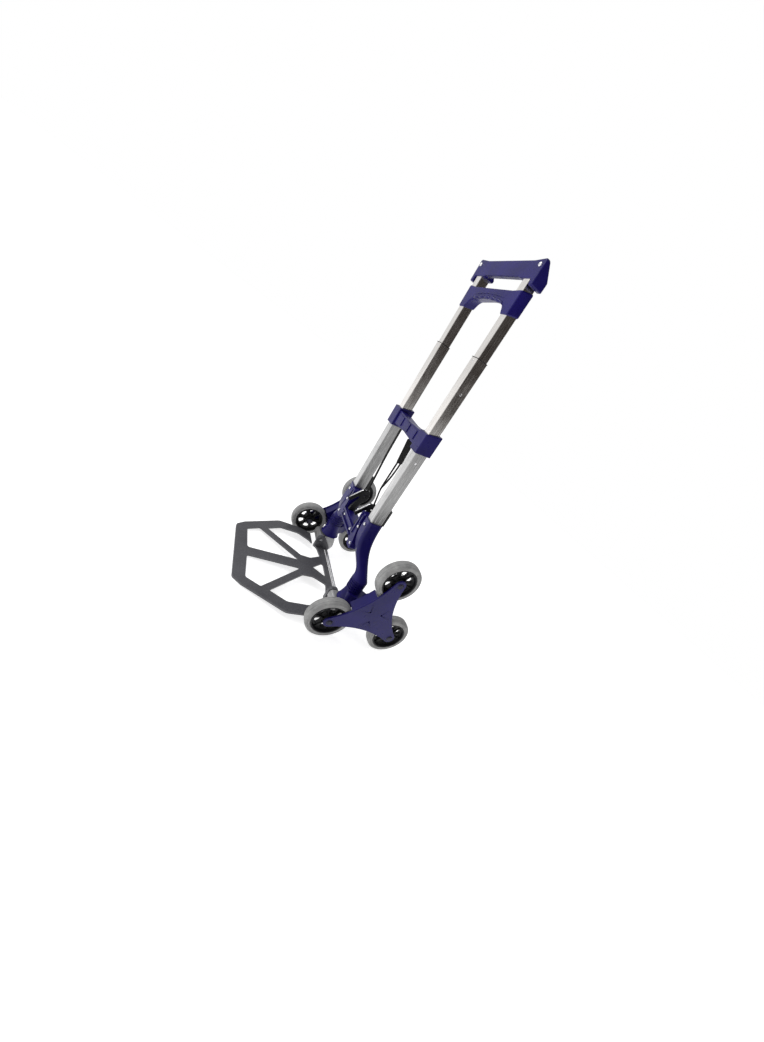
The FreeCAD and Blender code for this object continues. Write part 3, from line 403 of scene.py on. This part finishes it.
def facing(point, direction, roll=0.0):
    """Placement at a point whose X axis looks along direction."""
    turn = Vector(direction).to_track_quat("X", "Z").to_matrix().to_4x4()
    return Matrix.Translation(point) @ turn @ Matrix.Rotation(roll, 4, "X")


def rail_direction(x, y, z):
    return STANCE.to_3x3() @ Vector((x, y, z))


# ---------------------------------------------------------------- carried-over CAD nodes

EDGES = {"toe_plate": 0.9, "mid_bracket": 1.0, "cross_member": 1.1, "handle_grip": 1.2, "release_grip": 1.0,
         "plate_rear_rod": 0.5, "pivot_pins": 0.8, "rear_pads": 1.2}


def dress_cad():
    """Give each CAD node its finish, and round the edges of the ones with hard corners."""
    for name, node in frame["nodes"].items():
        paint(node, SLOT_OF[name])
        width = EDGES.get(name, 0.9 if SLOT_OF[name] in ("blue_plastic", "grey_casting") else 0.4)
        soften(node, width)


# ---------------------------------------------------------------- wheels

def tyre(spot, side):
    """Solid grey tyre: crowned tread with fine side grooves and a raised ring on each wall."""
    name = "tyre_%s_%s" % (spot, side)
    low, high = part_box(name)
    centre, half = (low + high) / 2, (high.x - low.x) / 2 / MM
    outer = (high.z - low.z) / 2 / MM
    rim = outer - 14.5
    wall = [(half, rim), (half, rim + 3.2), (half - 0.5, rim + 4.2), (half - 0.6, rim + 6), (half, rim + 7),
            (half, rim + 8.4), (half - 0.8, outer - 4.6), (half - 1.9, outer - 2.4), (half - 3.6, outer - 1),
            (half - 6, outer - 0.35), (half - 6.6, outer - 1.5), (half - 7.5, outer - 1.5),
            (half - 8.1, outer - 0.15), (2.5, outer), (0.35, outer), (0.2, outer - 0.3)]
    profile = wall + [(-x, radius) for x, radius in reversed(wall)]
    mesh = bmesh.new()
    rings = lathe(mesh, profile, Matrix.Translation(centre), 72)
    skin(mesh, [rings[-1], rings[0]])
    finished(name + "_skin", mesh, "wheel_%s_%s" % (spot, side), "grey_tyre", replaces=[name])


def hub_detail(spot, side):
    """Ribs on the hub's spokes and a raised ring round its boss, on both faces."""
    low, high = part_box("wheel_hub_%s_%s" % (spot, side))
    centre, half = (low + high) / 2, (high.x - low.x) / 2 / MM
    mesh = bmesh.new()
    for face in (-1, 1):
        place = Matrix.Translation(centre) @ Matrix.Rotation(0 if face > 0 else math.pi, 4, "Z")
        ring = [(5, 19), (6.2, 19.2), (6.6, 20), (6.2, 20.8), (5, 21)]
        lathe(mesh, ring, place, 40)
        lip = [(half - 0.4, 44.5), (half + 0.5, 45), (half + 0.7, 46), (half + 0.5, 47), (half - 0.4, 47.5)]
        lathe(mesh, lip, place, 64)
        for spoke in range(6):
            turn = place @ Matrix.Rotation(spoke * math.pi / 3, 4, "X")
            add_rib(mesh, turn, 15, 43, 3.4, 4.6, 10.5, 8)
    finished("hub_detail_%s_%s" % (spot, side), mesh, "wheel_%s_%s" % (spot, side), "black_plastic")


def add_rib(mesh, place, start, end, wide, foot, near_top, far_top):
    """Tapered rib along place's Y axis, from its foot level up to its crest."""
    rows = []
    middle = ((start + end) / 2, (near_top + far_top) / 2 - 1.5)
    for reach, top in ((start, near_top), middle, (end, far_top)):
        section = [(foot, -wide / 2), (top - 0.8, -wide / 2 + 0.3), (top, -wide / 4), (top, wide / 4),
                   (top - 0.8, wide / 2 - 0.3), (foot, wide / 2)]
        rows.append([mesh.verts.new(place @ (Vector((x, reach, z)) * MM)) for x, z in section])
    for first, second in zip(rows, rows[1:]):
        for index in range(len(first) - 1):
            mesh.faces.new((first[index], first[index + 1], second[index + 1], second[index]))
    cap(mesh, rows[0])
    cap(mesh, rows[-1])


def wheels():
    for side in SIDES:
        for spot in ("front", "top", "rear"):
            tyre(spot, side)
            hub_detail(spot, side)


# ---------------------------------------------------------------- screws and small fittings

def pan_head(mesh, place, radius, high):
    """Domed screw head with a cross recess."""
    dome = [(0, radius), (high * 0.35, radius), (high * 0.75, radius * 0.86), (high * 0.95, radius * 0.62)]
    rings = lathe(mesh, dome, place, 24)
    steps = len(rings[-1])
    inner, floor_ring = [], []
    for step in range(steps):
        angle = 2 * math.pi * step / steps
        arm = abs(math.cos(2 * angle)) ** 3
        reach = radius * (0.16 + 0.3 * arm)
        for store, level in ((inner, high), (floor_ring, high * 0.3)):
            point = Vector((level, reach * math.cos(angle), reach * math.sin(angle))) * MM
            store.append(mesh.verts.new(place @ point))
    skin(mesh, [rings[-1], inner, floor_ring])
    cap(mesh, floor_ring)


BAR_SCREWS = [(-39, 114), (39, 114)]
CHEEK_SCREWS = [(-76, 150), (76, 150), (-86, 98), (86, 98)]
LEG_SCREW = 176
BAR_FRONT, CHEEK_FRONT = -88, -90
HANDLE_SCREW_HALF, HANDLE_FRONT, HANDLE_SCREW = 118, -84, 850
SCREW_RADIUS, SCREW_HIGH = 4.5, 2.8
MIDDLE_HALF_WIDE, MIDDLE_HALF_DEEP = 13.3, 15.5
SIDE_RIVET, FRONT_RIVET = 575, 647


def screws():
    """Bright pan-head screws on the cross member, the legs and the handle."""
    forward = rail_direction(0, -1, 0)
    spots = [(x, BAR_FRONT, z) for x, z in BAR_SCREWS] + [(x, CHEEK_FRONT, z) for x, z in CHEEK_SCREWS]
    spots += [(side * RAIL_HALF, CHEEK_FRONT, LEG_SCREW) for side in SIDES.values()]
    mesh = bmesh.new()
    for number, spot in enumerate(spots):
        pan_head(mesh, facing(at(*spot), forward, number * 0.7), SCREW_RADIUS, SCREW_HIGH)
    finished("cross_member_screw_heads", mesh, "frame", "steel", replaces=["cross_member_screws"])
    mesh = bmesh.new()
    for side in SIDES.values():
        spot = at(side * HANDLE_SCREW_HALF, HANDLE_FRONT, HANDLE_SCREW)
        pan_head(mesh, facing(spot, forward, 0.4), SCREW_RADIUS, SCREW_HIGH)
    finished("handle_screw_heads", mesh, "handle", "steel", replaces=["handle_screws"])


def rivets():
    """Nearly flush rivet heads on the middle rails: one on the outer side and one in front."""
    button = [(-0.3, 2.6), (0.08, 2.5), (0.15, 2.0), (0.18, 1.0)]
    for name, side in SIDES.items():
        mesh = bmesh.new()
        outer = at(side * (RAIL_HALF + MIDDLE_HALF_WIDE), -RAIL_SETBACK, SIDE_RIVET)
        front = at(side * RAIL_HALF, -RAIL_SETBACK - MIDDLE_HALF_DEEP, FRONT_RIVET)
        for place in (facing(outer, rail_direction(side, 0, 0)), facing(front, rail_direction(0, -1, 0))):
            rings = lathe(mesh, button, place, 16)
            cap(mesh, rings[-1])
        finished("rail_rivets_" + name, mesh, "middle_stage", "steel")


# ---------------------------------------------------------------- straps and hooks

def tube_along(name, points, radius, body, slot):
    """Round cord on a smooth spline through control points in the rails' frame."""
    data = bpy.data.curves.new(name, "CURVE")
    data.dimensions = "3D"
    data.bevel_depth = radius * MM
    data.bevel_resolution = 4
    data.resolution_u = 10
    spline = data.splines.new("NURBS")
    spline.points.add(len(points) - 1)
    for point, spot in zip(spline.points, points):
        point.co = (*at(*spot), 1)
    spline.order_u = 3
    spline.use_endpoint_u = True
    item = bpy.data.objects.new(name, data)
    bpy.context.scene.collection.objects.link(item)
    item.data.materials.append(MATERIALS[slot])
    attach(item, body)
    return item


HOOK_EYE = (-61, 196)
BAND_TOP, BAND_BOTTOM = 421.9, 350


def band():
    """Flat woven elastic under the bracket's bar, with a hemmed lower end."""
    mesh = bmesh.new()
    rows = []
    steps = 14
    for step in range(steps + 1):
        share = step / steps
        z = BAND_TOP + (BAND_BOTTOM - BAND_TOP) * share
        front, back = -86 + 9 * share, -62 + 4 * share
        thick = 1.5 + 0.5 * (share > 0.82)
        sway = 0.6 * math.sin(share * math.pi)
        section = [(thick, front + 1.2), (thick, (front + back) / 2), (thick, back - 1.2), (0, back),
                   (-thick, back - 1.2), (-thick, (front + back) / 2), (-thick, front + 1.2), (0, front)]
        rows.append([mesh.verts.new(at(CORD_HALF + x + sway, y, z)) for x, y in section])
    skin(mesh, rows)
    cap(mesh, rows[0])
    cap(mesh, rows[-1])
    item = finished("strap_band", mesh, "frame", "black_webbing", replaces=["elastic_straps"])
    smooth = item.modifiers.new("smooth", "SUBSURF")
    smooth.levels = smooth.render_levels = 1


def straps():
    """The woven band, the two cords that leave it, and the single cord of the other side."""
    band()
    eye = (CORD_HALF, *HOOK_EYE)
    routes = {
        "strap_cord_front": [(CORD_HALF, -73, 353), (CORD_HALF, -73.4, 310), (CORD_HALF, -74, 264),
                             (CORD_HALF, -67, 232), eye],
        "strap_cord_rear": [(CORD_HALF, -63, 353), (CORD_HALF, -64, 320), (CORD_HALF, -68, 290),
                            (CORD_HALF, -74, 264)],
        "strap_cord_left": [(-CORD_HALF, -75, 420), (-CORD_HALF, -74, 380), (-CORD_HALF, -72, 330),
                            (-CORD_HALF, -66, 260), (-CORD_HALF, *HOOK_EYE)],
    }
    for name, points in routes.items():
        radius = 3.1 if name == "strap_cord_left" else 2.4
        cord = tube_along(name, points, radius, "frame", "black_webbing")


HOOK_BACK = [(-105.5, 173), (-97, 184.1), (-88, 195.9), (-80, 206.4), (-75.5, 211.6), (-69, 213.6),
             (-60, 214)]


def hook_trims():
    """Bright strip over the upper edge of each hook."""
    for name, side in SIDES.items():
        mesh = bmesh.new()
        rows = []
        for index, (y, z) in enumerate(HOOK_BACK):
            end = index in (0, len(HOOK_BACK) - 1)
            wide, lift = (1.6, 0.3) if end else (3.2, 1.1)
            section = [(-wide, -0.8), (-wide * 0.8, lift * 0.7), (0, lift), (wide * 0.8, lift * 0.7),
                       (wide, -0.8)]
            rows.append([mesh.verts.new(at(side * CORD_HALF + x, y - up * 0.7, z + up * 0.7))
                         for x, up in section])
        skin(mesh, rows)
        cap(mesh, rows[0])
        cap(mesh, rows[-1])
        item = finished("hook_trim_" + name, mesh, "frame", "steel")
        smooth = item.modifiers.new("smooth", "SUBSURF")
        smooth.levels = smooth.render_levels = 2


# ---------------------------------------------------------------- release grip

GRIP_SLOPE = 0.28
GRIP_FRONT = -83.5
ARCH_TOP = 780
ROLL_SIDES = 10


def arch_point(x, lift):
    """Place on the grip's front face, lift above the edge of its finger arch."""
    fall = 6 * (x / 72) ** 2 + 14 * max(0, (abs(x) - 66) / 14) ** 2
    return Vector((x, GRIP_FRONT, ARCH_TOP + GRIP_SLOPE * (GRIP_FRONT + RAIL_SETBACK) - fall + lift))


def arch_roll(mesh, reach, lift, swell, steps=90):
    """Roll of changing radius swell(share) along the arch, share running from -1 to 1."""
    rows = []
    for step in range(steps + 1):
        share = 2 * step / steps - 1
        centre, radius = arch_point(share * reach, lift), swell(share)
        ring = []
        for turn in range(ROLL_SIDES):
            angle = 2 * math.pi * turn / ROLL_SIDES
            spot = centre + Vector((0, radius * math.cos(angle), radius * math.sin(angle)))
            ring.append(mesh.verts.new(at(*spot)))
        rows.append(ring)
    skin(mesh, rows)
    cap(mesh, rows[0])
    cap(mesh, rows[-1])


def finger_arch():
    """Lobed lip round the release grip's finger arch, and a bead that follows it higher up."""
    lobes = 6
    mesh = bmesh.new()
    arch_roll(mesh, 72, 2.5,
              lambda share: 1.6 + 2.6 * abs(math.cos(share * lobes * math.pi / 2)) ** 0.7 * (1 - share ** 8))
    arch_roll(mesh, 66, 12, lambda share: 0.5 + 0.9 * (1 - share ** 10))
    finished("finger_arch", mesh, "release_grip", "blue_plastic")


# ---------------------------------------------------------------- floor

def floor():
    """Plain pale floor, faintly mottled."""
    mesh = bmesh.new()
    bmesh.ops.create_grid(mesh, x_segments=8, y_segments=8, size=12)
    data = bpy.data.meshes.new("floor")
    mesh.to_mesh(data)
    mesh.free()
    item = bpy.data.objects.new("floor", data)
    bpy.context.scene.collection.objects.link(item)
    material, nodes, shader = finish_of("pale_floor", 0.8, emission_color=(1, 1, 1, 1),
                                        emission_strength=0.68)
    clouds = nodes.add("ShaderNodeTexNoise", Vector=nodes.add("ShaderNodeTexCoord").outputs["Object"])
    clouds.inputs["Scale"].default_value = 3
    tint = nodes.blend(nodes.span(clouds.outputs[0], 0.3, 0.7), (0.8, 0.8, 0.79), (0.84, 0.84, 0.84))
    nodes.feed(shader.inputs["Base Color"], tint)
    data.materials.append(material)


camera()
studio()
floor()
dress_cad()
wheels()
screws()
rivets()
straps()
hook_trims()
finger_arch()
